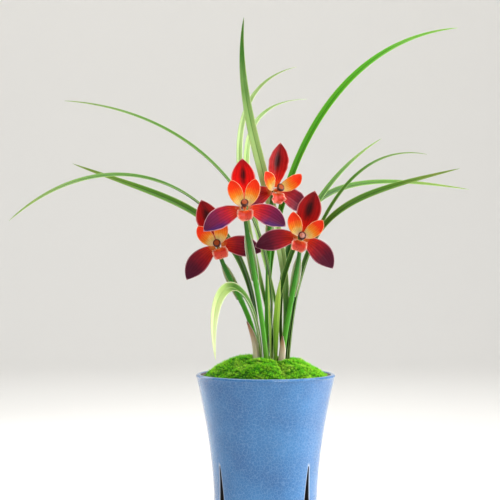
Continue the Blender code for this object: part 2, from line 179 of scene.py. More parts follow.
def seat(piece, slot, *nodes):
    """Rides the piece on the only body and hides the CAD nodes that it stands for; slot, the name of its
    finish, is not used.
    """
    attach(piece, "root")
    if nodes:
        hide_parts(*nodes)
    return piece


def evenly(first, last, count):
    return [first + (last - first) * step / (count - 1) for step in range(count)]


def smooth(value, low, high):
    """0 below low, 1 above high, with an S curve between them."""
    share = min(1, max(0, (value - low) / (high - low)))
    return share * share * (3 - 2 * share)


def on_bearing(bearing):
    """A level direction, counted in degrees from the front towards the right."""
    angle = math.radians(bearing)
    return Vector((math.sin(angle), -math.cos(angle), 0))


# %% [markdown]
# ## Tools for materials
# Colours are written as the sRGB hex codes that any colour picker shows, and turned to linear light once.
# One function adds a node: its own settings by name, and its inputs as a number, a colour or another node's
# output. A texture's scale is how many features it has in a metre, so 260 is about one every 4 mm.


# %% Colours and nodes
def linear(code):
    """(r, g, b, 1) in linear light from an sRGB hex code."""
    shares = [int(code[first : first + 2], 16) / 255 for first in (1, 3, 5)]
    return (*(s / 12.92 if s <= 0.04045 else ((s + 0.055) / 1.055) ** 2.4 for s in shares), 1)


def add_node(material, kind, inputs, take=0, **settings):
    """Adds a shader node and gives one of its outputs. Stops are (place, hex code); a Mix blends colours."""
    node = material.node_tree.nodes.new("ShaderNode" + kind)
    stops = settings.pop("stops", ())
    if kind == "Mix":
        take = 2
        node.data_type = "RGBA"
    for name, value in settings.items():
        setattr(node, name, value)
    for name, value in inputs.items():
        if isinstance(value, bpy.types.NodeSocket):
            material.node_tree.links.new(value, node.inputs[name])
        else:
            node.inputs[name].default_value = linear(value) if isinstance(value, str) else value
    for number, (place, code) in enumerate(stops):
        elements = node.color_ramp.elements
        stop = elements[number] if number < 2 else elements.new(place)
        stop.position = place
        stop.color = linear(code)
    return node.outputs[take]


def new_material(name, **constants):
    """A material with its shader's fixed values; underscores in their names stand for spaces."""
    material = bpy.data.materials.new(name)
    material.use_nodes = True
    shader = material.node_tree.nodes["Principled BSDF"]
    for socket, value in constants.items():
        shader.inputs[socket.replace("_", " ")].default_value = value
    return material


def finish_material(material, colour, height=None, depth=0.0, roughness=None):
    """Links the colour, the bump height (its depth in metres) and the roughness to the shader."""
    links = material.node_tree.links
    shader = material.node_tree.nodes["Principled BSDF"]
    links.new(colour, shader.inputs["Base Color"])
    if height is not None:
        bump = add_node(material, "Bump", {"Strength": 1.0, "Distance": depth, "Height": height})
        links.new(bump, shader.inputs["Normal"])
    if roughness is not None:
        links.new(roughness, shader.inputs["Roughness"])
    return material


def blade_sockets(material):
    """The outputs that give across, along and how far off the midrib, from the attribute that sheets keep."""
    blade = add_node(material, "Attribute", {}, take="Vector", attribute_name="blade")
    across, along, _ = add_node(material, "SeparateXYZ", {0: blade}).node.outputs
    return across, along, add_node(material, "Math", {0: across}, operation="ABSOLUTE")


def clouded(material, along, scale, detail, sway):
    """A noise, and along shifted by it, so that the colours down a blade don't meet in straight lines."""
    place = add_node(material, "TexCoord", {}, take="Object")
    cloud = add_node(material, "TexNoise", {"Vector": place, "Scale": scale, "Detail": detail})
    shifted = add_node(material, "Math", {0: cloud, 1: sway, 2: along}, operation="MULTIPLY_ADD")
    return cloud, add_node(material, "Math", {0: shifted, 1: sway / 2}, operation="SUBTRACT")


def tinted(material, under, over, value, start, full, least=0.0, most=1.0, ease="SMOOTHSTEP"):
    """Lays a colour over another: its share goes from least to most as the value goes from start to full."""
    inputs = {0: value, 1: start, 2: full, 3: least, 4: most}
    share = add_node(material, "MapRange", inputs, interpolation_type=ease)
    return add_node(material, "Mix", {0: share, 6: under, 7: over})


# %% [markdown]
# ## Glazed stoneware
# The pot was turned from stoneware and dipped in a blue feldspar glaze that crazed into a fine net as it
# cooled. What the eye gets from that is a deep, even blue with slightly lighter craze lines 1 to 3 mm
# apart, a soft unevenness in the colour, a glossy face that is very gently dimpled, and paler edges where
# the glaze ran thin, painted paler still on the lip and the slits' arrises as a highlight. Glass has an IOR
# of about 1.5. Inside and under the foot the bare clay shows, a dull mauve brown, painted near black with
# shade low in the pot.


# %% Glaze and clay
CRAZE = ((2.8 * MM, 0.08, 0.34), (1.4 * MM, 0.1, 0.18))  # cell, width of a line in cells, how strong it is
CRAZE_WARP = 3 * MM
CLAY_SHADE_HEIGHTS = (0.11, 0.15)  # painted shade: the bare clay is near black below the first of these heights in metres, its own mauve brown above the second


def glazed_stoneware():
    """The attribute glaze is 1 where the pot was dipped, and a second attribute is 1 on its edges: the glaze
    there is paler where it thins, with a painted highlight.
    """
    material = new_material("glazed_stoneware", IOR=1.52, Coat_Weight=0.25, Coat_Roughness=0.06)
    add = partial(add_node, material)
    place = add("TexCoord", {}, take="Object")
    warp = add("TexNoise", {"Vector": place, "Scale": 260.0, "Detail": 2.0}, take="Color")
    bent = add("VectorMath", {0: warp, 1: (CRAZE_WARP,) * 3}, operation="MULTIPLY")
    bent = add("VectorMath", {0: place, 1: bent}, operation="ADD")
    broad = add("TexNoise", {"Vector": place, "Scale": 28.0, "Detail": 3.0})
    body = add("ValToRGB", {0: broad}, stops=((0.3, "#2a64a0"), (0.5, "#3070ac"), (0.7, "#3a7eba")))
    lines = []
    for cell, width, strength in CRAZE:
        net = add("TexVoronoi", {"Vector": bent, "Scale": 1 / cell}, feature="DISTANCE_TO_EDGE")
        lines.append(add("MapRange", {0: net, 1: 0.0, 2: width, 3: strength, 4: 0.0}))
    craze = add("Math", {0: lines[0], 1: lines[1]}, operation="MAXIMUM")
    crazed = add("Mix", {0: craze, 6: body, 7: "#86b4e0"})
    glaze = add("Attribute", {}, take="Fac", attribute_name="glaze")
    dipped = add("MapRange", {0: glaze, 1: 0.8, 2: 0.95})
    thin_glaze_and_highlight = add("Attribute", {}, take="Fac", attribute_name="thin_glaze_and_highlight")
    # Pale edge: where the glaze thins on the lip and the slits' arrises, with a painted highlight, it is
    # lightened to #c4d2e6.
    arris = add("Math", {0: thin_glaze_and_highlight, 1: dipped}, operation="MULTIPLY")
    pale = add("Mix", {0: arris, 6: crazed, 7: "#c4d2e6"})
    grit = add("TexNoise", {"Vector": place, "Scale": 900.0, "Detail": 4.0})
    bare = add("ValToRGB", {0: grit}, stops=((0.3, "#4a3236"), (0.55, "#7d6068"), (0.75, "#9c8088")))
    height = add("SeparateXYZ", {0: place}, take="Z")
    # Painted shade: the bare clay is darkened to near black low in the pot, on the slits' cut faces and under
    # the foot.
    clay = tinted(material, "#1c1312", bare, height, *CLAY_SHADE_HEIGHTS, ease="LINEAR")
    colour = add("Mix", {0: dipped, 6: clay, 7: pale})
    gloss = add("MapRange", {0: dipped, 3: 0.75, 4: 0.2})
    peel = add("TexNoise", {"Vector": place, "Scale": 420.0, "Detail": 2.0})
    dimples = add("Math", {0: craze, 1: -0.4, 2: peel}, operation="MULTIPLY_ADD")
    return finish_material(material, colour, dimples, 0.22 * MM, gloss)


GLAZE = glazed_stoneware()
print("glaze: craze cells of", [round(cell / MM, 1) for cell, _, _ in CRAZE], "mm")

# %% [markdown]
# ## The pot
# The CAD pot is turned in 40 flats, with three slits cut through its lower wall. A finer one could be cut
# the same way, but a Boolean leaves slivers along each slit that can't be rounded. Here the columns of the
# mesh are spread between the slits instead, so that they lean with the slit's sides. Below a slit's top the
# column of faces in it is left out and its two sides are closed, and Bevel then softens every arris as
# glazing does.

# %% Pot sizes
_, pot_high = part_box("pot")
POT_HEIGHT = pot_high.z
RIM_RADIUS = pot_high.x
WAIST_RADIUS = 42.3 * MM
WAIST_HEIGHT = 60 * MM
FOOT_RADIUS = 44.6 * MM
FLARE_POWER = 1.78
POT_WALL = 4.5 * MM
FLOOR_TOP = 46 * MM
FLOOR_THICKNESS = 6 * MM
DRAIN_RADIUS = 11 * MM
SLIT_APEX = POT_HEIGHT - 72.5 * MM
SLIT_FOOT_WIDTH = 18 * MM
SLIT_APEX_WIDTH = 1.4 * MM
SLIT_BEARINGS = (-57, 51, 177)
print("the pot is", round(POT_HEIGHT / MM), "mm tall and its mouth", round(2 * RIM_RADIUS / MM), "mm across")


def pot_radius(height):
    """The outside radius at a height."""
    if height < WAIST_HEIGHT:
        return WAIST_RADIUS + (FOOT_RADIUS - WAIST_RADIUS) * (1 - height / WAIST_HEIGHT) ** 2
    share = (height - WAIST_HEIGHT) / (POT_HEIGHT - WAIST_HEIGHT)
    return WAIST_RADIUS + (RIM_RADIUS - WAIST_RADIUS) * share**FLARE_POWER


# %% Pot mesh
PANEL_COLUMNS = 52  # columns of faces between two slits
ARRIS_BAND = 1.1 * MM  # the glaze is thin, and a highlight is painted, this close to a slit
LIP_STEPS = 9


def wall_profile():
    """(radius, height, glaze, pale edge) once round the wall: over the lip, down outside and up inside. The
    pale edge is where the glaze thins, with a painted highlight.
    """
    half = POT_WALL / 2
    shoulder = POT_HEIGHT - half
    middle = RIM_RADIUS - half
    levels = sorted({SLIT_APEX, *evenly(0, SLIT_APEX, 30), *evenly(SLIT_APEX, shoulder, 24)}, reverse=True)
    lip = [math.pi / 2 * (1 - step / LIP_STEPS) for step in range(LIP_STEPS)]
    rows = []
    for angle in lip:
        # Top of the lip, outside: paler where the glaze thins, and a painted highlight.
        thin_glaze_and_highlight = 0.75 * smooth(math.degrees(angle), 55, 85)
        rows.append((middle + half * math.cos(angle), shoulder + half * math.sin(angle), 1, thin_glaze_and_highlight))
    outside = len(rows)
    rows += [(pot_radius(level), level, 1, 0) for level in levels]
    inside = len(rows)
    rows += [(pot_radius(level) - POT_WALL, level, 0, 0) for level in reversed(levels)]
    for angle in reversed(lip[1:]):
        glaze = smooth(math.degrees(angle), 20, 50)
        # Top of the lip, inside: paler where the glaze thins, and a painted highlight.
        thin_glaze_and_highlight = 0.6 * smooth(math.degrees(angle), 60, 85)
        rows.append((middle - half * math.cos(angle), shoulder + half * math.sin(angle), glaze, thin_glaze_and_highlight))
    return rows, levels, outside, inside


def build_pot():
    rows, levels, outside, inside = wall_profile()
    shape = bmesh.new()
    glaze = shape.verts.layers.float.new("glaze")
    thin_glaze_and_highlight = shape.verts.layers.float.new("thin_glaze_and_highlight")
    columns = []
    for number, bearing in enumerate(SLIT_BEARINGS):
        following = SLIT_BEARINGS[(number + 1) % len(SLIT_BEARINGS)]
        span = math.radians((following - bearing) % 360)
        for step in range(PANEL_COLUMNS + 1):
            column = []
            for radius, height, glazed, lip_thin_glaze_and_highlight in rows:
                share = min(1, max(0, height / SLIT_APEX))
                half = (SLIT_FOOT_WIDTH + (SLIT_APEX_WIDTH - SLIT_FOOT_WIDTH) * share) / 2
                margin = math.asin(half / radius)
                band = ARRIS_BAND / radius
                inner_span = span - 2 * (margin + band)
                if step == 0:
                    turn = margin
                elif step == PANEL_COLUMNS:
                    turn = span - margin
                else:
                    turn = margin + band + inner_span * (step - 1) / (PANEL_COLUMNS - 2)
                spot = on_bearing(bearing + math.degrees(turn)) * radius
                spot.z = height
                corner = shape.verts.new(spot)
                at_slit = step in (0, PANEL_COLUMNS) and height <= SLIT_APEX
                corner[glaze] = glazed
                # A slit's edges are pale where the glaze thins, with a painted highlight; so is the lip.
                corner[thin_glaze_and_highlight] = glazed if at_slit else lip_thin_glaze_and_highlight
                column.append(corner)
            columns.append((column, step == PANEL_COLUMNS))
    count = len(rows)
    depth = len(levels)
    apex = levels.index(SLIT_APEX)
    for index, (column, at_slit) in enumerate(columns):
        beside = columns[(index + 1) % len(columns)][0]
        for row in range(count):
            following = (row + 1) % count
            heights = (rows[row][1], rows[following][1])
            if at_slit and min(heights) < SLIT_APEX:
                continue
            shape.faces.new((column[row], column[following], beside[following], beside[row]))
        if at_slit:
            outer = outside + apex
            inner = inside + depth - 1 - apex
            shape.faces.new((column[outer], column[inner], beside[inner], beside[outer]))
            for edge, order in ((column, 1), (beside, -1)):
                for level in range(apex, depth - 1):
                    near = outside + level
                    far = inside + depth - 1 - level
                    corners = (edge[near], edge[near + 1], edge[far - 1], edge[far])
                    shape.faces.new(corners[::order])
    add_floor(shape)
    bmesh.ops.recalc_face_normals(shape, faces=shape.faces)
    pot = link_piece("pot_body", take_mesh("pot_body", shape), GLAZE)
    bevel = pot.modifiers.new("soft_arrises", "BEVEL")
    bevel.width = 0.55 * MM
    bevel.segments = 3
    bevel.limit_method = "ANGLE"
    bevel.angle_limit = math.radians(50)
    seat(pot, "glazed_stoneware", "pot")
    return pot


def add_floor(shape):
    """The pot's floor, a thick bare clay disc with its drain hole."""
    top = FLOOR_TOP
    bottom = FLOOR_TOP - FLOOR_THICKNESS
    wall = pot_radius(top) - POT_WALL
    section = ((DRAIN_RADIUS, top), (wall, top), (wall, bottom), (DRAIN_RADIUS, bottom))
    sides = 72
    rings = []
    for number in range(sides):
        direction = on_bearing(360 * number / sides)
        rings.append([shape.verts.new(direction * radius + Vector((0, 0, z))) for radius, z in section])
    for number in range(sides):
        for corner in range(len(section)):
            here = rings[number]
            beside = rings[(number + 1) % sides]
            following = (corner + 1) % len(section)
            shape.faces.new((here[corner], here[following], beside[following], beside[corner]))


pot = build_pot()
print("the pot has", len(pot.data.polygons), "faces before its arrises are softened")

# %% [markdown]
# ## Bark mix
# Orchids grow in crushed pine bark. Most of it is out of sight: it shows between the stems at the crown
# and, dark, through the slits. Its side is one lumpy solid, and loose crumbs and chips lie on top, under
# and between the leaves. Bark is dull, so its roughness is high.

# %% Bark mix
CROWN_OFFSET = 5 * MM
CROWN_RADIUS = 17 * MM
MIX_RISE = 3 * MM
MIX_DROP = 7 * MM
MIX_CRUMBS = 1 * MM
CHIPS = 420
GAP = 0.3 * MM
_, mix_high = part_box("growing_medium")
CROWN = Vector((CROWN_OFFSET, 0, mix_high.z + MIX_CRUMBS))


def bark_material():
    material = new_material("crushed_pine_bark", Roughness=0.85, IOR=1.45)
    add = partial(add_node, material)
    place = add("TexCoord", {}, take="Object")
    chips = add("TexVoronoi", {"Vector": place, "Scale": 1 / (4 * MM)}, take="Color")
    grain = add("TexNoise", {"Vector": place, "Scale": 700.0, "Detail": 5.0}).node.outputs
    shade = add("Mix", {0: 0.5, 6: chips, 7: grain["Color"]})
    colour = add("ValToRGB", {0: shade}, stops=((0.25, "#1d120c"), (0.5, "#3f2a1c"), (0.7, "#6a4a32")))
    return finish_material(material, colour, grain[0], 0.6 * MM)


BARK = bark_material()


def mix_height(radius):
    """The top of the mix: level at the crown, then sloping down to the wall."""
    level = CROWN_OFFSET + CROWN_RADIUS
    wall = pot_radius(POT_HEIGHT - MIX_DROP) - POT_WALL
    slope = max(0, (radius - level) / (wall - level))
    return POT_HEIGHT + MIX_RISE - (MIX_RISE + MIX_DROP) * slope


def build_mix():
    """The lumpy solid and the crumbs that lie on its crown, as one piece."""
    sides = 120
    top = [(0.5 * MM, mix_height(0))] + [(r, mix_height(r)) for r in evenly(3 * MM, 51 * MM, 17)]
    side = [(pot_radius(z) - POT_WALL - GAP, z) for z in evenly(POT_HEIGHT - MIX_DROP, FLOOR_TOP + GAP, 44)]
    section = top + side + [(r, FLOOR_TOP + GAP) for r in evenly(38 * MM, 0.5 * MM, 3)]
    shape = bmesh.new()
    rings = []
    for radius, height in section:
        ring = []
        for number in range(sides):
            spot = on_bearing(360 * number / sides) * radius + Vector((0, 0, height))
            lump = abs(noise.noise(spot / (3.5 * MM))) + 0.5 * abs(noise.noise(spot / (1.6 * MM)))
            inward = Vector((-spot.x, -spot.y, 0)).normalized() * 1.6 * MM
            sunk = Vector((0, 0, -1.2 * MM)) if height > POT_HEIGHT - 2 * MIX_DROP else inward
            ring.append(shape.verts.new(spot + sunk * min(1, lump)))
        rings.append(ring)
    for ring, following in zip(rings, rings[1:]):
        for number in range(sides):
            beside = (number + 1) % sides
            shape.faces.new((ring[number], ring[beside], following[beside], following[number]))
    shape.faces.new(list(reversed(rings[0])))
    shape.faces.new(rings[-1])
    draw = random.Random(11)
    for _ in range(CHIPS):
        bearing = draw.uniform(0, 360)
        away = (CROWN_RADIUS + 1 * MM) * math.sqrt(draw.random())
        size = draw.uniform(0.5, 1.3) * MM
        spot = Vector((CROWN.x, CROWN.y, mix_high.z)) + on_bearing(bearing) * away
        spin = Matrix.Rotation(draw.uniform(0, math.tau), 4, "Z")
        turn = spin @ Matrix.Rotation(draw.uniform(-0.5, 0.5), 4, "X")
        stretch = Matrix.Diagonal((size * draw.uniform(1, 2.2), size, size * draw.uniform(0.35, 0.6), 1))
        chip = bmesh.ops.create_icosphere(
            shape, subdivisions=1, radius=1, matrix=Matrix.Translation(spot) @ turn @ stretch
        )
        for corner in chip["verts"]:
            corner.co += noise.noise_vector(corner.co / (0.8 * MM)) * (0.22 * size)
            corner.co.z = min(corner.co.z, mix_high.z + 0.9 * MIX_CRUMBS)
    bmesh.ops.recalc_face_normals(shape, faces=shape.faces)
    return seat(link_piece("bark_mix", take_mesh("bark_mix", shape), BARK), "bark_mix", "growing_medium")


build_mix()
print("the mix tops out at", round(mix_high.z / MM, 1), "mm")

# %% [markdown]
# ## Cushion moss
# Cushion moss is a crowd of shoots a millimetre or two apart, each a small star of narrow leaves, which
# together read as velvet: bright at the tips and dark between them, a dark that is painted shade, near
# black at the foot of each shoot and on the pad under them. Hair particles would give the velvet in a
# render but leave no mesh, so each shoot is modelled, as spikes with three sides that stand on a lumpy pad.
# The pads follow the CAD ones: four cushions round the crown that thin towards their edges, which gives the
# dark clefts between them.


# %% Moss material
def moss_material():
    """In the blade attribute, across is how bright a shoot is and along runs from its foot to its tip, where
    the colour goes from painted shade to the moss's own green.
    """
    material = new_material("cushion_moss", Roughness=0.6, IOR=1.4, Specular_IOR_Level=0.25)
    add = partial(add_node, material)
    brightness, along, _ = blade_sockets(material)
    place = add("TexCoord", {}, take="Object")
    patch = add("TexNoise", {"Vector": place, "Scale": 110.0, "Detail": 3.0})
    tips = add("ValToRGB", {0: patch}, stops=((0.35, "#6cd80c"), (0.5, "#a0f418"), (0.68, "#d0ff50")))
    bright = add("Mix", {0: brightness, 6: "#3ca008", 7: tips})
    # Painted shade: each shoot is near black green at its foot and reaches its own colour three quarters of
    # the way up.
    return finish_material(material, tinted(material, "#0e3002", bright, along, 0.0, 0.75, ease="LINEAR"))


MOSS = moss_material()

# %% Moss pads and shoots
MOSS_RISE = 20 * MM
MOSS_POWER = 1.9
MOSS_EDGE = 0.55
MOSS_EDGE_POWER = 4
MOSS_PADS = {
    "moss_front": (-52, 12),
    "moss_right": (12, 98),
    "moss_back": (98, 196),
    "moss_left": (196, 308),
}
MOSS_TUSSOCKS = ((8 * MM, 2 * MM), (3.5 * MM, 1 * MM))  # size and height of the lumps
MOSS_SUNK = 2.8 * MM  # the pad lies this far under the tips of its shoots
SHOOT_SPACING = 1.6 * MM
SHOOT_HEIGHT = 2.3 * MM
SHOOT_LEAVES = 8  # on each shoot, one upright and the rest leaning out
SHOOT_LEAF_WIDTH = 0.55 * MM


def moss_height(radius):
    """The top of the moss: a dome that comes down to the rim at the wall."""
    share = min(1, radius / (RIM_RADIUS - POT_WALL))
    return POT_HEIGHT + MOSS_RISE * (1 - share**MOSS_POWER)


def moss_spot(pad, turn, out, rise, lumps=1.0):
    """A point in a pad: how far round it, out from the crown and up it is, each from 0 to 1."""
    first, last = MOSS_PADS[pad]
    wall = pot_radius(POT_HEIGHT - MIX_DROP) - POT_WALL - GAP
    middle = Vector((CROWN_OFFSET, 0, 0))
    direction = on_bearing(first + (last - first) * (1 - turn))
    nearest = middle.dot(direction)
    reach = math.sqrt(wall**2 - middle.length_squared + nearest**2) - nearest
    spot = middle + direction * (CROWN_RADIUS + (reach - CROWN_RADIUS) * out)
    edge = max(abs(2 * turn - 1), abs(2 * out - 1)) ** MOSS_EDGE_POWER
    bottom = mix_height(spot.length) + MIX_CRUMBS
    top = bottom + (moss_height(spot.length) - bottom) * (1 - (1 - MOSS_EDGE) * edge)
    tussock = sum(noise.noise(spot / size) * high for size, high in MOSS_TUSSOCKS)
    top += (tussock - MOSS_SUNK) * lumps
    return spot + Vector((0, 0, bottom + (top - bottom) * rise))


def build_moss(pad, seed):
    """The pad as a rounded block, with a shoot at every millimetre or two of its top."""
    shape = bmesh.new()
    bmesh.ops.create_cube(shape, size=1)
    bmesh.ops.subdivide_edges(shape, edges=shape.edges[:], cuts=34, use_grid_fill=True)
    for corner in shape.verts:
        turn, out, rise = (value + 0.5 for value in corner.co)
        corner.co = moss_spot(pad, 0.5 + (turn - 0.5) * 0.985, out, rise)
    base = take_mesh(pad + "_base", shape)
    corners = [corner.co.copy() for corner in base.vertices]
    faces = [tuple(face.vertices) for face in base.polygons]
    # The pad sits near the shoots' feet in the blade attribute, so it is painted dark as shade.
    blade = [(0.3, 0.1, 0)] * len(corners)
    bpy.data.meshes.remove(base)
    first, last = MOSS_PADS[pad]
    draw = random.Random(seed)
    rows = round((RIM_RADIUS - POT_WALL - CROWN_RADIUS) / SHOOT_SPACING)
    shoots = 0
    for row in range(rows):
        out = (row + 0.5) / rows
        radius = CROWN_RADIUS + (RIM_RADIUS - POT_WALL - CROWN_RADIUS) * out
        around = round(radius * math.radians(last - first) / SHOOT_SPACING)
        for number in range(around):
            turn = (number + draw.uniform(0.1, 0.9)) / around
            here = min(0.995, max(0.005, out + draw.uniform(-0.45, 0.45) / rows))
            foot = moss_spot(pad, turn, here, 1)
            step = 0.01
            further = moss_spot(pad, min(1, turn + step), here, 1, 0)
            slope_turn = further - moss_spot(pad, turn - step, here, 1, 0)
            slope_out = moss_spot(pad, turn, here + step, 1, 0) - moss_spot(pad, turn, here - step, 1, 0)
            normal = slope_turn.cross(slope_out).normalized()
            normal = normal if normal.z > 0 else -normal
            normal = (normal + Vector((0, 0, 0.4))).normalized()
            bright = draw.random()
            shoots += 1
            add_shoot(corners, faces, blade, foot, normal, bright, draw)
    mesh = bpy.data.meshes.new(pad + "_shoots")
    mesh.from_pydata(corners, [], faces)
    keep_blade(mesh, blade)
    return seat(link_piece(pad + "_shoots", mesh, MOSS), "cushion_moss", pad), shoots


def add_shoot(corners, faces, blade, foot, normal, bright, draw):
    """One star of narrow leaves, each a spike with three sides that leans out from the shoot's middle."""
    side = normal.orthogonal().normalized()
    start = draw.uniform(0, math.tau)
    tall = SHOOT_HEIGHT * draw.uniform(0.75, 1.2)
    for leaf in range(SHOOT_LEAVES):
        angle = start + math.tau * leaf / SHOOT_LEAVES
        out = Matrix.Rotation(angle, 3, normal) @ side
        lean = 0.0 if leaf == 0 else draw.uniform(0.4, 1.1)
        tip = foot + (normal + out * lean).normalized() * tall * (1 if leaf == 0 else draw.uniform(0.7, 1))
        first = len(corners)
        for corner in range(3):
            turn = angle + math.tau * corner / 3
            reach = Matrix.Rotation(turn, 3, normal) @ side * (SHOOT_LEAF_WIDTH / 2)
            corners.append(foot - normal * 0.5 * MM + out * (lean * 0.2 * MM) + reach)
            blade.append((bright, 0.0, 0))
        corners.append(tip)
        blade.append((bright, 1.0, 0))
        faces.append((first + 2, first + 1, first))
        for corner in range(3):
            faces.append((first + corner, first + (corner + 1) % 3, first + 3))


for number, pad in enumerate(MOSS_PADS):
    _, shoots = build_moss(pad, 100 + number)
    print(pad, "has", shoots, "shoots")

# %% [markdown]
# ## Leaf material
# A leaf of this orchid is a tough strap with a sunk midrib and fine parallel veins. Its skin is waxy, so it
# has a satin shine (IOR about 1.45, roughness about 0.4). Light passes through it, so leaves seen against
# the light are pale yellow green and the others are deep green: here that is painted light and painted
# shade, in lit and shaded copies of the leaf's colours. The toothed margin catches the light as a fine pale
# line, a painted highlight. The same function makes all of them from a list of colours along the leaf.

# %% Leaf materials
LEAF_VEINS = 9  # veins on each side of the midrib


def leaf_material(name, stops, margin, midrib):
    material = new_material(name, Roughness=0.38, IOR=1.45, Subsurface_Weight=0.08, Subsurface_Scale=2 * MM)
    across, along, off = blade_sockets(material)
    _, shifted = clouded(material, along, 45.0, 2.0, 0.16)
    colour = add_node(material, "ValToRGB", {0: shifted}, stops=stops)
    wave = add_node(material, "Math", {0: across, 1: math.pi * LEAF_VEINS}, operation="MULTIPLY")
    wave = add_node(material, "Math", {0: wave}, operation="COSINE")
    colour = tinted(material, colour, midrib, wave, -1.0, 1.0, most=0.22, ease="LINEAR")
    colour = tinted(material, colour, midrib, off, 0.04, 0.16, least=0.75, most=0.0)
    # Painted highlight: the margin is lightened into a fine pale line.
    colour = tinted(material, colour, margin, off, 0.74, 0.98, most=0.8)
    return finish_material(material, colour, wave, 0.03 * MM)


# Lit and shaded copies of the leaf colours: painted shade in leaf_in_shade, painted sunlight in
# leaf_in_full_sun, painted light through the leaf in leaf_against_light and in the pale middle of
# leaf_turning_to_light.
LEAF_LOOKS = {
    "shaded": leaf_material(
        "leaf_in_shade",
        ((0.0, "#6c7a30"), (0.12, "#24560a"), (0.45, "#387008"), (0.8, "#588f14"), (0.97, "#8cac3c")),
        "#9fc468",
        "#163f04",
    ),
    "sunlit": leaf_material(
        "leaf_in_full_sun",
        ((0.0, "#7c9234"), (0.12, "#2f780a"), (0.45, "#46a008"), (0.8, "#58b410"), (0.97, "#8ac83c")),
        "#98d84c",
        "#256804",
    ),
    "pale": leaf_material(
        "leaf_against_light",
        ((0.0, "#6f8430"), (0.2, "#4a8418"), (0.42, "#a0c86a"), (0.7, "#bcd890"), (0.88, "#7c9c44")),
        "#d4e8ac",
        "#7cac44",
    ),
    "upright": leaf_material(
        "leaf_turning_to_light",
        ((0.0, "#6f8430"), (0.15, "#3f7c14"), (0.4, "#c0e094"), (0.66, "#b0d87c"), (0.9, "#2f7408")),
        "#b8d888",
        "#4f8c20",
    ),
    "bent": leaf_material(
        "leaf_bent_over",
        ((0.0, "#6f8430"), (0.2, "#4f9010"), (0.5, "#3f780c"), (0.6, "#b8d878"), (0.97, "#e4eab4")),
        "#e6f2c0",
        "#a4c868",
    ),
    "new": leaf_material(
        "new_leaf",
        ((0.0, "#7c9234"), (0.2, "#6fa020"), (0.5, "#8cbc34"), (0.75, "#a4cc48"), (0.97, "#bcd870")),
        "#c8e088",
        "#6f9c24",
    ),
}
print(len(LEAF_LOOKS), "leaf materials")

# %% [markdown]
# ## Leaves
# Each leaf follows a cubic curve through its root, rise, arch and tip, as in the CAD, and turns a little
# round itself on the way. The CAD leaf is two flat halves. Here the fold is a smooth groove, the margins
# droop a touch, and the blade draws in to a fine point.

# %% Leaf shapes
LEAF_THICKNESS = 0.6 * MM
LEAF_WIDTH = 8 * MM
LEAF_FOLD_ROOT = 55
LEAF_FOLD_TIP = 14
LEAF_OPENING = 0.45
LEAF_ROOT_WIDTH = 0.5
LEAF_TAPER_START = 0.5
LEAF_TAPER_POWER = 2.2
LEAF_TIP_WIDTH = 0.07
LEAF_GROOVE = 0.16  # how round the bottom of the fold is
LEAF_DROOP = 0.1  # how far the margins hang, as a share of the half width
LEAVES = (  # root, level with the crown and in shares of its radius; rise, arch and tip in mm from the crown;
    # width as a share; degrees turned at root and tip
    ("leaf_01", (-0.412, 0.235), (24, 10, 129), (-63, -29, 211), (-162, -70, 214), 0.85, -40, -35, "shaded"),
    ("leaf_02", (-0.765, 0.235), (1, 40, 143), (-126, -20, 202), (-192, -150, 119), 0.85, -30, -35, "shaded"),
    ("leaf_03", (-0.588, 0.529), (-15, 40, 134), (-70, 32, 134), (-172, 60, 173), 1.0, -30, -75, "shaded"),
    ("leaf_04", (0.353, 0.059), (36, 30, 100), (-36, 42, 193), (-23, 40, 297), 1.3, -65, -45, "upright"),
    ("leaf_05", (-0.059, 0.765), (13, 22, 48), (-83, 75, 233), (24, 110, 263), 0.8, 60, 5, "pale"),
    ("leaf_06", (0.294, 0.706), (25, 14, 56), (-83, 92, 228), (35, 148, 238), 0.8, 60, 5, "pale"),
    ("leaf_07", (0.118, 0.382), (-16, 44, 103), (28, 40, 276), (161, 50, 289), 0.95, 35, 60, "sunlit"),
    ("leaf_08", (0, 0.059), (0, -4, 70), (27, 20, 152), (99, 90, 197), 0.7, 30, 40, "shaded"),
    ("leaf_09", (0.706, 0.147), (16, 3, 56), (44, 9, 193), (130, 15, 178), 0.7, 30, 30, "shaded"),
    ("leaf_10", (0.588, 0.471), (-4, 28, 155), (53, 95, 171), (185, 145, 154), 0.9, 35, 50, "shaded"),
    ("leaf_11", (0.824, -0.176), (24, -2, 130), (47, -4, 139), (147, -60, 162), 1.0, 50, 70, "shaded"),
    ("leaf_12", (-0.529, -0.235), (-12, -26, 87), (-57, -15, 89), (-45, -45, 10), 1.35, -60, -60, "bent"),
    ("leaf_13", (-0.059, -0.235), (-2, -4, 27), (-3, -5, 54), (-3, -6, 78), 0.5, -70, -70, "new"),
    ("leaf_14", (0.2, -0.33), (3, -6, 28), (4, -6, 52), (7, -7, 74), 0.75, -70, -70, "new"),
)


def along_route(route, share):
    """The point a share of the way along a cubic curve through its root, rise, arch and tip."""
    root, rise, arch, tip = route
    left = 1 - share
    near_root = root * left**3 + rise * (3 * left * left * share)
    return near_root + arch * (3 * left * share * share) + tip * share**3


def heading(route, share):
    root, rise, arch, tip = route
    left = 1 - share
    slope = (rise - root) * left**2 + (arch - rise) * (2 * left * share) + (tip - arch) * share**2
    return slope.normalized()


def from_crown(root, *points):
    """A root in shares of the crown's radius and the points after it in mm, all in the world."""
    return [CROWN + Vector((*root, 0)) * CROWN_RADIUS, *(CROWN + Vector(point) * MM for point in points)]


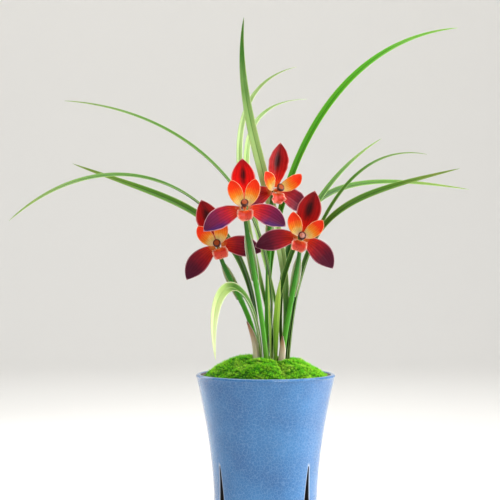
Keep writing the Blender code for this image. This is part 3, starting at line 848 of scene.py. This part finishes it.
def leaf_outline(share):
    """The width as a share of the widest: slim at the root, then a long taper to a fine point."""
    opened = math.sin(math.pi / 2 * min(1, share / LEAF_OPENING))
    taper = max(0, (share - LEAF_TAPER_START) / (1 - LEAF_TAPER_START)) ** LEAF_TAPER_POWER
    point = math.sqrt(min(1, (1 - share) / 0.02))
    return (LEAF_ROOT_WIDTH + (1 - LEAF_ROOT_WIDTH) * opened) * (1 - (1 - LEAF_TIP_WIDTH) * taper) * point


def build_leaf(name, route, width, turn_root, turn_tip, look):
    level = (route[-1] - route[0]).cross(Vector((0, 0, 1))).normalized()

    def place(across, share):
        forward = heading(route, share)
        side = (level - forward * level.dot(forward)).normalized()
        face = side.cross(forward)
        turn = Matrix.Rotation(math.radians(turn_root + (turn_tip - turn_root) * share), 3, forward)
        fold = math.radians(LEAF_FOLD_ROOT + (LEAF_FOLD_TIP - LEAF_FOLD_ROOT) * share)
        half = width / 2 * leaf_outline(share)
        lift = math.sqrt(across**2 + LEAF_GROOVE**2) - LEAF_GROOVE - LEAF_DROOP * across**4
        flat = (turn @ side) * (across * half * math.cos(fold))
        return along_route(route, share) + flat + (turn @ face) * (lift * half * math.sin(fold))

    piece = sheet(name + "_blade", LEAF_LOOKS[look], 12, 110, LEAF_THICKNESS, place)
    return seat(piece, "leaf_blade", name)


for name, root, rise, arch, tip, share, turn_root, turn_tip, look in LEAVES:
    build_leaf(name, from_crown(root, rise, arch, tip), LEAF_WIDTH * share, turn_root, turn_tip, look)
print(len(LEAVES), "leaves, the widest", LEAF_WIDTH * max(row[5] for row in LEAVES) / MM, "mm across")

# %% [markdown]
# ## Where the flowers are
# Each flower has its own axes: to its right, up its dorsal sepal, and the way that it looks. One matrix
# carries those to the world, and a stem ends just behind its flower's middle.

# %% Flowers and stems in place
STEM_RADIUS = 2.1 * MM
NECK_RADIUS = 1.5 * MM
NECK_BACK = 9 * MM
NECK_DROP = 20 * MM
NECK_START = 0.6
TEPAL_THICKNESS = 0.8 * MM
FLOWERS = {  # middle in mm from the crown; degrees that it looks right, looks up and leans to the right;
    # degrees that its petals spread past the bearings in TEPALS
    "flower_a": ((-22, -38, 131), 0, 13, -3, 0),
    "flower_b": ((-44, -8, 101.5), 0, 0, -20, 0),
    "flower_c": ((23.5, -20, 108), 0, -3, 16, 8),
    "flower_d": ((2.5, 20, 148), 30, 0, 2, 26),
}
STEMS = {  # flower, root as LEAVES has it, rise in mm, shares of the stem that its bract starts and ends at
    "stem_a": ("flower_a", (-0.265, -0.541), (-5, -13, 42), 0.5, 0.84),
    "stem_b": ("flower_b", (-0.776, -0.171), (-6, -4, 39), 0.5, 0.84),
    "stem_c": ("flower_c", (0.471, -0.294), (10, -8, 35), 0.5, 0.84),
    "stem_d": ("flower_d", (-0.235, 0.471), (-4, 7, 46), 0.6, 0.86),
}
SHEATHS = {"sheath_left": ("stem_b", 0.34, 130), "sheath_right": ("stem_c", 0.24, 130)}


def flower_matrix(name):
    middle, right, up, lean, _ = FLOWERS[name]
    return (
        Matrix.Translation(CROWN + Vector(middle) * MM)
        @ Matrix.Rotation(math.radians(right), 4, "Z")
        @ Matrix.Rotation(math.radians(90 - up), 4, "X")
        @ Matrix.Rotation(math.radians(-lean), 4, "Z")
    )


def stem_route(name):
    flower, root, rise, _, _ = STEMS[name]
    matrix = flower_matrix(flower)
    facing = matrix.to_3x3() @ Vector((0, 0, 1))
    end = matrix.translation - facing * (TEPAL_THICKNESS / 2 + GAP + NECK_RADIUS)
    arch = matrix.translation - facing * NECK_BACK - Vector((0, 0, NECK_DROP))
    return [*from_crown(root, rise), arch, end]


# %% [markdown]
# ## Flower stems, bracts and sheaths
# A flower stem is juicy and smooth, with a few shallow ridges, and it swells a little at the node where its
# bract starts. The bract is a thin pale boat that clasps it from behind, so the green stem shows between
# two pale edges. At the foot, dry papery sheaths, cream with brown tips, still clasp two of the stems.


# %% Stem and bract materials
CLASP_VEINS = 7  # veins on each side of the middle


def stem_material():
    material = new_material(
        "flower_stem_skin", Roughness=0.35, IOR=1.42, Subsurface_Weight=0.1, Subsurface_Scale=2 * MM
    )
    add = partial(add_node, material)
    _, along, _ = blade_sockets(material)
    place = add("TexCoord", {}, take="Object")
    streak = add("Mapping", {0: place, 3: (900.0, 900.0, 60.0)})
    fibre = add("TexNoise", {"Vector": streak, "Scale": 1.0, "Detail": 3.0}).node.outputs
    stops = ((0.0, "#6c9a2c"), (0.2, "#4a9c10"), (0.5, "#3c8c0c"), (0.75, "#246c08"), (1.0, "#3c6a10"))
    body = add("ValToRGB", {0: along}, stops=stops)
    colour = add("Mix", {0: 0.25, 6: body, 7: fibre["Color"]}, blend_type="OVERLAY")
    return finish_material(material, colour, fibre[0], 0.08 * MM)


def clasping_material(name, stops, edge, vein):
    """For bracts and sheaths: a papery sheet with long veins and a paler edge."""
    material = new_material(name, Roughness=0.5, IOR=1.42, Subsurface_Weight=0.1, Subsurface_Scale=2 * MM)
    across, along, off = blade_sockets(material)
    colour = add_node(material, "ValToRGB", {0: along}, stops=stops)
    wave = add_node(material, "Math", {0: across, 1: math.pi * CLASP_VEINS}, operation="MULTIPLY")
    wave = add_node(material, "Math", {0: wave}, operation="COSINE")
    colour = tinted(material, colour, vein, wave, 0.2, 1.0, most=0.45, ease="LINEAR")
    colour = tinted(material, colour, edge, off, 0.7, 0.95)
    return finish_material(material, colour, wave, 0.05 * MM)


STEM_SKIN = stem_material()
BRACT = clasping_material(
    "green_bract", ((0.0, "#b8d488"), (0.5, "#d8e8b4"), (1.0, "#eef2d0")), "#fafae8", "#a8c878"
)
SHEATH = clasping_material(
    "dry_sheath",
    ((0.0, "#dcd8b0"), (0.5, "#dcc8ac"), (0.8, "#bc8a64"), (1.0, "#7a3a20")),
    "#ecdccc",
    "#b0947c",
)

# %% Stems, bracts and sheaths
BRACT_THICKNESS = 0.5 * MM
BRACT_BELLY = 1.3 * MM
BRACT_WRAP = 75
SHEATH_WRAP = 105
BRACT_POINT = 0.12
BRACT_TAPER = 1.6
SHEATH_START = 0.02
NODE_SWELL = 0.14  # the node stands out by this share of the stem's radius
STEM_RIDGES = 7


def build_stem(name):
    route = stem_route(name)
    node = STEMS[name][3] - 0.02

    def radius(share, angle):
        slimmed = max(0, share - NECK_START) / (1 - NECK_START)
        swell = NODE_SWELL * math.exp(-(((share - node) / 0.012) ** 2))
        ridge = 0.03 * math.cos(STEM_RIDGES * angle)
        return (STEM_RADIUS + (NECK_RADIUS - STEM_RADIUS) * slimmed) * (0.97 + swell + ridge)

    piece = tube(name + "_stalk", STEM_SKIN, 28, 90, lambda share: along_route(route, share), radius)
    return seat(piece, "flower_stem", name)


def build_wrap(node, name, material, slot, stem, first, last, opens, wrap, belly):
    route = stem_route(stem)
    open_way = on_bearing(opens)
    nearest = STEM_RADIUS + 2 * GAP + BRACT_THICKNESS / 2

    def place(across, share):
        spot = first + (last - first) * share
        forward = heading(route, spot)
        front = (open_way - forward * open_way.dot(forward)).normalized()
        side = forward.cross(front)
        taper = BRACT_POINT + (1 - BRACT_POINT) * math.cos(math.pi / 2 * share**BRACT_TAPER)
        angle = across * math.radians(wrap * taper)
        broad = nearest + belly * math.sin(math.pi * share)
        beside = along_route(route, spot) + side * (broad * math.sin(angle))
        return beside - front * (nearest * math.cos(angle))

    return seat(sheet(name, material, 16, 40, BRACT_THICKNESS, place), slot, node)


for name, (_, _, _, first, last) in STEMS.items():
    build_stem(name)
    node = name.replace("stem", "bract")
    build_wrap(node, node + "_boat", BRACT, "green_bract", name, first, last, 0, BRACT_WRAP, BRACT_BELLY)
for name, (stem, last, opens) in SHEATHS.items():
    build_wrap(name, name + "_paper", SHEATH, "dry_sheath", stem, SHEATH_START, last, opens, SHEATH_WRAP, 0)
print(len(STEMS), "stems, each with its bract, and", len(SHEATHS), "dry sheaths")

# %% [markdown]
# ## Petal materials
# Sepals and petals are soft, slightly waxy and full of colour: they look satin, not glossy, with a little
# light passing through. The colour is laid on in layers, most of them as nature does it: a body colour that
# changes from the base out, a dark blotch where pigment gathers, a violet-blue flush toward the lower edge of
# the purple sepals that is a painted sheen, fine veins that fan out from the base, and a thin pale margin.


# %% Petal materials
PETAL_GLOW = {"Subsurface_Weight": 0.08, "Subsurface_Scale": 1.5 * MM}


def petal_material(name, stops, margin, vein, blotch=None, blotch_place=None, painted_sheen=None):
    """blotch_place is where along it sits, how long it is and how wide, all as shares of the blade."""
    material = new_material(name, Roughness=0.5, IOR=1.4, Specular_IOR_Level=0.22, **PETAL_GLOW)
    add = partial(add_node, material)
    across, along, off = blade_sockets(material)
    cloud, shifted = clouded(material, along, 320.0, 3.0, 0.2)
    colour = add("ValToRGB", {0: shifted}, stops=stops)
    # Painted sheen: a violet-blue wash toward the lower edge of the outer part of the sepal.
    if painted_sheen:
        lower = add("MapRange", {0: across, 1: 0.1, 2: 0.9, 3: 0.0, 4: 0.7}, interpolation_type="SMOOTHSTEP")
        outer = add("MapRange", {0: along, 1: 0.3, 2: 0.6}, interpolation_type="SMOOTHSTEP")
        both = add("Math", {0: lower, 1: outer}, operation="MULTIPLY")
        colour = add("Mix", {0: both, 6: colour, 7: painted_sheen})
    if blotch:
        centre, length, width = blotch_place
        along_off = add("Math", {0: shifted, 1: centre}, operation="SUBTRACT")
        along_off = add("Math", {0: along_off, 1: 1 / length}, operation="MULTIPLY")
        side_off = add("Math", {0: off, 1: 1 / width}, operation="MULTIPLY")
        both = add("CombineXYZ", {0: along_off, 1: side_off})
        reach = add("VectorMath", {0: both}, take="Value", operation="LENGTH")
        colour = tinted(material, colour, blotch, reach, 0.15, 1.0, least=0.95, most=0.0)
    ripple = add("Math", {0: cloud, 1: 2.2}, operation="MULTIPLY")
    fan = add("Math", {0: across, 1: 22.0, 2: ripple}, operation="MULTIPLY_ADD")
    wave = add("Math", {0: fan}, operation="COSINE")
    colour = tinted(material, colour, vein, wave, 0.4, 1.0, most=0.35, ease="LINEAR")
    rim = add("MapRange", {0: off, 1: 0.89, 2: 0.99, 3: 0.0, 4: 0.85}, interpolation_type="SMOOTHSTEP")
    end = add("MapRange", {0: along, 1: 0.95, 2: 1.0, 3: 0.0, 4: 0.8}, interpolation_type="SMOOTHSTEP")
    either = add("Math", {0: rim, 1: end}, operation="MAXIMUM")
    return finish_material(material, add("Mix", {0: either, 6: colour, 7: margin}), wave, 0.04 * MM)


PETAL_LOOKS = {
    "scarlet_sepal": petal_material(
        "scarlet_sepal",
        ((0.0, "#f87010"), (0.2, "#fc2404"), (0.45, "#f00802"), (0.8, "#d80404"), (1.0, "#90081a")),
        "#f0a49c",
        "#a80408",
        blotch="#240208",
        blotch_place=(0.66, 0.3, 0.42),
    ),
    "maroon_sepal": petal_material(
        "maroon_sepal",
        ((0.0, "#e05a10"), (0.2, "#cc1204"), (0.45, "#ac0604"), (0.8, "#a0060c"), (1.0, "#700a14")),
        "#dc8c8c",
        "#5c040a",
        blotch="#1c0206",
        blotch_place=(0.6, 0.4, 0.62),
    ),
    "purple_sepal": petal_material(
        "purple_sepal",
        ((0.0, "#f8d098"), (0.12, "#f04020"), (0.35, "#c01c30"), (0.6, "#7c1c48"), (1.0, "#501840")),
        "#e4a8b4",
        "#34081c",
        painted_sheen="#3c2470",
    ),
    "wine_sepal": petal_material(
        "wine_sepal",
        ((0.0, "#f09c48"), (0.15, "#d02c14"), (0.4, "#981424"), (0.65, "#5c1028"), (1.0, "#4c102c")),
        "#c88c98",
        "#280610",
    ),
    "flame_petal": petal_material(
        "flame_petal",
        ((0.0, "#fff6d8"), (0.24, "#ffe080"), (0.44, "#ff9420"), (0.7, "#fc3c08"), (1.0, "#f02808")),
        "#fcac80",
        "#dc2404",
    ),
}


def lip_material():
    """Coral in the middle, whitish at its frilled edge, with darker speckles in its throat."""
    material = new_material(
        "coral_lip", Roughness=0.45, IOR=1.4, Subsurface_Weight=0.15, Subsurface_Scale=1.5 * MM
    )
    add = partial(add_node, material)
    _, along, off = blade_sockets(material)
    place = add("TexCoord", {}, take="Object")
    stops = ((0.0, "#f8dca0"), (0.2, "#e85820"), (0.45, "#d83420"), (0.8, "#dc5038"), (1.0, "#f0a890"))
    body = add("ValToRGB", {0: along}, stops=stops)
    speck = add("TexVoronoi", {"Vector": place, "Scale": 1 / (1.6 * MM)})
    spots = add("MapRange", {0: speck, 1: 0.2, 2: 0.34, 3: 0.7, 4: 0.0})
    middle = add("MapRange", {0: off, 1: 0.25, 2: 0.75, 3: 1.0, 4: 0.0})
    both = add("Math", {0: spots, 1: middle}, operation="MULTIPLY")
    spotted = add("Mix", {0: both, 6: body, 7: "#a82818"})
    return finish_material(material, tinted(material, spotted, "#f4c8b0", off, 0.72, 0.98, most=0.6))


def column_material():
    """Coral with a brown-red hood, a dark ring round the end and the orange pollen cap inside it."""
    material = new_material(
        "waxy_column", Roughness=0.3, IOR=1.45, Subsurface_Weight=0.1, Subsurface_Scale=1.5 * MM
    )
    _, along, _ = blade_sockets(material)
    stops = ((0.0, "#e0a040"), (0.4, "#dc6024"), (0.6, "#8c280c"), (0.74, "#4c1806"), (0.84, "#441406"))
    body = add_node(material, "ValToRGB", {0: along}, stops=stops)
    return finish_material(material, tinted(material, body, "#b04c14", along, 0.9, 0.935))


LIP = lip_material()
COLUMN = column_material()
print(len(PETAL_LOOKS) + 2, "flower materials")

# %% [markdown]
# ## Flowers
# A sepal or petal has a spine that tips forward and bends sideways, and a cup across it. The CAD sheet is
# coarse, so here it gets its short drawn-out point, a shallow keel along the midrib and a faint waviness at
# the margins. The lip curls down in front with a frilled edge and two small lobes that stand beside the
# column, and the column ends in a hood with the pollen cap in it.

# %% Flower shapes
COLUMN_RADIUS = 1.7 * MM
COLUMN_LENGTH = 11 * MM
COLUMN_RISE = 14
COLUMN_SWELLS = (  # a share of the way along it, and its radius there as a share
    *((0, 1.0), (0.35, 0.95), (0.6, 1.2), (0.7, 1.8)),
    *((0.8, 2.05), (0.86, 1.9), (0.9, 1.45), (1, 0.12)),
)
CAP_START = 0.88  # past this share of the column its points close over the pollen cap
CAP_BULGE = 0.15
TEPAL_TIP_WIDTH = 0.06
SEPAL_TAPER_POWER = 1.9
PETAL_TAPER_POWER = 1.35
PETAL_TAPER_ROUND = 0.8
TEPALS = {  # bearing in the flower, length, width, share of the length where it is widest, base width,
    # start from the axis, start ahead, degrees forward at its base and at its tip, cup, sickle in degrees
    "dorsal_sepal": (0, 38, 19.5, 0.58, 4.5, 2.6, 0.0, 6, 18, 0.28, 0),
    "left_sepal": (-102, 35.5, 17, 0.55, 4.5, 2.6, 0.0, 6, 2, 0.22, -31),
    "right_sepal": (102, 33.5, 17, 0.55, 4.5, 2.6, 0.0, 6, 2, 0.22, 32),
    "left_petal": (-40, 23, 11.5, 0.55, 3.6, 3.0, 2.2, 42, 20, 0.35, 30),
    "right_petal": (40, 23, 11.5, 0.55, 3.6, 3.0, 2.2, 42, 20, 0.35, -30),
    "lip": (180, 11, 13, 0.45, 3.6, 2.5, 2.4, 75, -60, 0.35, 0),
}
FLOWER_LOOKS = {  # dorsal sepal and lateral sepals of each flower
    "flower_a": ("scarlet_sepal", "purple_sepal"),
    "flower_b": ("maroon_sepal", "wine_sepal"),
    "flower_c": ("maroon_sepal", "wine_sepal"),
    "flower_d": ("maroon_sepal", "wine_sepal"),
}


def tepal_outline(share, widest, base, pointed):
    """The half width as a share: a sepal ends in a point, a petal or the lip rounds off."""
    if share < widest:
        return base + (1 - base) * math.sin(math.pi / 2 * share / widest)
    past = (share - widest) / (1 - widest)
    left = 1 - past**SEPAL_TAPER_POWER
    if not pointed:
        left = math.cos(math.pi / 2 * past**PETAL_TAPER_POWER) ** PETAL_TAPER_ROUND
    return TEPAL_TIP_WIDTH * (1 - past**6) + (1 - TEPAL_TIP_WIDTH) * left


def build_tepal(flower, tepal, sizes, material, frill=0.0, waves=5):
    """frill is how far the margin waves in and out, as a share of the half width."""
    bearing, length, width, widest, base, start, ahead, tilt_base, tilt_tip, cup, sickle = sizes
    if "petal" in tepal:
        bearing += math.copysign(FLOWERS[flower][-1], bearing)
    matrix = flower_matrix(flower)
    phase = 6 * noise.noise(Vector((sum(map(ord, flower + tepal)) * 0.37, 0.5, 0.2)))

    def place(across, share):
        first = math.radians(tilt_base)
        bend = math.radians(tilt_tip - tilt_base)
        tilt = first + bend * share
        out = start + length * (math.sin(tilt) - math.sin(first)) / bend
        forward = ahead - length * (math.cos(tilt) - math.cos(first)) / bend
        middle = math.radians(bearing + sickle * share / 2)
        here = math.radians(bearing + sickle * share)
        outward = Vector((math.sin(here), math.cos(here), 0))
        side = Vector((math.cos(here), -math.sin(here), 0))
        face = Vector((0, 0, math.cos(tilt))) - outward * math.sin(tilt)
        half = width / 2 * tepal_outline(share, widest, base / width, "sepal" in tepal)
        wave = math.sin(math.tau * waves * share + phase + (2 if across > 0 else 0))
        keel = -0.06 * math.exp(-((across / 0.16) ** 2)) * math.sin(math.pi * share)
        lift = cup * across**2 + keel + frill * wave * abs(across) ** 3 * smooth(share, 0.1, 0.4)
        spot = Vector((math.sin(middle) * out, math.cos(middle) * out, forward))
        return matrix @ ((spot + side * (across * half) + face * (lift * half)) * MM)

    flip = -1 if tepal.startswith("left") else 1
    name = f"{flower}_{tepal}"
    piece = sheet(name + "_sheet", material, 20, 36, TEPAL_THICKNESS, place, flip=flip)
    slots = {"dorsal_sepal": "crimson_sepal", "lip": "coral_lip"}
    slot = slots.get(tepal, "maroon_sepal" if "sepal" in tepal else "orange_petal")
    return seat(piece, slot, name)


def build_lip_lobe(flower, way):
    """One of the two small rounded lobes of the lip that stand up beside the column."""
    matrix = flower_matrix(flower)

    def place(across, share):
        half = 2.6 * math.sin(math.pi * min(1, 0.18 + 0.82 * share)) ** 0.6
        out = 2.9 + 2.6 * share
        drop = -3.6 + 1.2 * share
        forward = 4.0 + across * half
        curl = 0.5 * across**2
        return matrix @ (Vector((way * (out + curl), drop + 0.6 * across, forward)) * MM)

    side = "left" if way < 0 else "right"
    return seat(sheet(f"{flower}_lip_{side}_lobe", LIP, 10, 12, 0.5 * MM, place), "coral_lip")


def build_column(flower):
    """The column arches up over the lip, swells to a hood and ends in its pollen cap."""
    matrix = flower_matrix(flower)
    rise = math.radians(COLUMN_RISE)

    def centre(share):
        reach = share / CAP_START if share < CAP_START else 1 + CAP_BULGE * (share - CAP_START)
        turn = rise * reach * 2
        up = COLUMN_LENGTH * (1 - math.cos(turn)) / (rise * 2)
        forward = COLUMN_LENGTH * math.sin(turn) / (rise * 2)
        return matrix @ Vector((0, up, forward + TEPAL_THICKNESS))

    def radius(share, angle):
        for (first, wide), (last, next_wide) in zip(COLUMN_SWELLS, COLUMN_SWELLS[1:]):
            if share <= last:
                swell = wide + (next_wide - wide) * smooth(share, first, last)
                return COLUMN_RADIUS * swell * (1 - 0.06 * math.cos(2 * angle))
        return COLUMN_RADIUS * COLUMN_SWELLS[-1][1]

    across = matrix.to_3x3() @ Vector((1, 0, 0))
    piece = tube(f"{flower}_column_hood", COLUMN, 28, 56, centre, radius, across)
    return seat(piece, "flower_column", f"{flower}_column")


for flower, (dorsal, lateral) in FLOWER_LOOKS.items():
    for tepal, sizes in TEPALS.items():
        if tepal == "lip":
            build_tepal(flower, tepal, sizes, LIP, frill=0.22, waves=3)
        elif tepal == "dorsal_sepal":
            build_tepal(flower, tepal, sizes, PETAL_LOOKS[dorsal], frill=0.03)
        elif "sepal" in tepal:
            build_tepal(flower, tepal, sizes, PETAL_LOOKS[lateral], frill=0.04)
        else:
            build_tepal(flower, tepal, sizes, PETAL_LOOKS["flame_petal"], frill=0.05)
    for way in (-1, 1):
        build_lip_lobe(flower, way)
    build_column(flower)
print(len(FLOWER_LOOKS), "flowers of", len(TEPALS), "tepals and a column each")

# %% [markdown]
# ## Floor and light
# A pale studio bowl, flat where the pot stands and curving up all round, gives the same plain ground from
# every side. The light is soft: a large box from the front right, a weaker one from the left, one from
# above, and a tall strip at each side that draws a pale line along leaves, petals and the pot's edge. One
# more lights the back.

# %% Studio
FLOOR_RADIUS = 2.2
BOWL_CURVE = 1.0
BOWL_TOP = 2.6


def build_bowl():
    profile = [(0.0001, 0), *((r, 0) for r in evenly(0.4, FLOOR_RADIUS, 6))]
    for angle in evenly(0, math.pi / 2, 12)[1:]:
        profile.append((FLOOR_RADIUS + BOWL_CURVE * math.sin(angle), BOWL_CURVE * (1 - math.cos(angle))))
    profile.append((FLOOR_RADIUS + BOWL_CURVE, BOWL_TOP))
    sides = 96
    corners = []
    for radius, height in profile:
        for number in range(sides):
            corners.append(on_bearing(360 * number / sides) * radius + Vector((0, 0, height)))
    mesh = bpy.data.meshes.new("studio_floor")
    mesh.from_pydata(corners, [], list(belt_faces(len(profile), sides)))
    material = new_material("studio_card", Roughness=0.9, Base_Color=linear("#eceae6"))
    floor = link_piece("studio_floor", mesh, material)
    floor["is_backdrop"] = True
    return floor


def soft_box(name, spot, width, height, power, aim=(0, 0, 0.28)):
    data = bpy.data.lights.new(name, "AREA")
    data.shape = "RECTANGLE"
    data.size = width
    data.size_y = height
    data.energy = power
    light = bpy.data.objects.new(name, data)
    light.location = spot
    light.rotation_euler = (Vector(aim) - Vector(spot)).to_track_quat("-Z", "Y").to_euler()
    light.visible_camera = False
    bpy.context.scene.collection.objects.link(light)
    return light


build_bowl()
soft_box("key", (0.6, -0.9, 1.2), 0.6, 0.6, 12)
soft_box("fill", (-1.1, -0.9, 0.6), 0.8, 0.8, 2.5)
soft_box("strip_right", (0.8, 0.05, 0.35), 0.22, 1.1, 9)
soft_box("strip_left", (-0.8, 0.75, 0.45), 0.2, 1.1, 4)
soft_box("top", (0, 0.3, 1.5), 0.8, 0.8, 7)
soft_box("backdrop", (0, 0.7, 1.7), 1.6, 0.5, 26, aim=(0, 2.2, 0.7))
world = bpy.data.worlds.new("studio_air")
world.use_nodes = True
air = world.node_tree.nodes["Background"].inputs
air["Color"].default_value = linear("#e8ecf0")
air["Strength"].default_value = 0.35
bpy.context.scene.world = world
bpy.context.scene.view_settings.view_transform = "Standard"

# %% [markdown]
# ## Compare with the CAD box, and finish
# The ends of the finished box are set against the CAD box's along each axis, and the differences are printed.

# %% Finish
made_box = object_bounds()
sizes = {"cad": [list(corner) for corner in cad_box], "visual": [list(corner) for corner in made_box]}
for way, name in enumerate("xyz"):
    grown = (made_box[0][way] - cad_box[0][way], made_box[1][way] - cad_box[1][way])
    print(name, "ends differ from the CAD's by", [round(g / MM, 2) for g in grown], "mm")
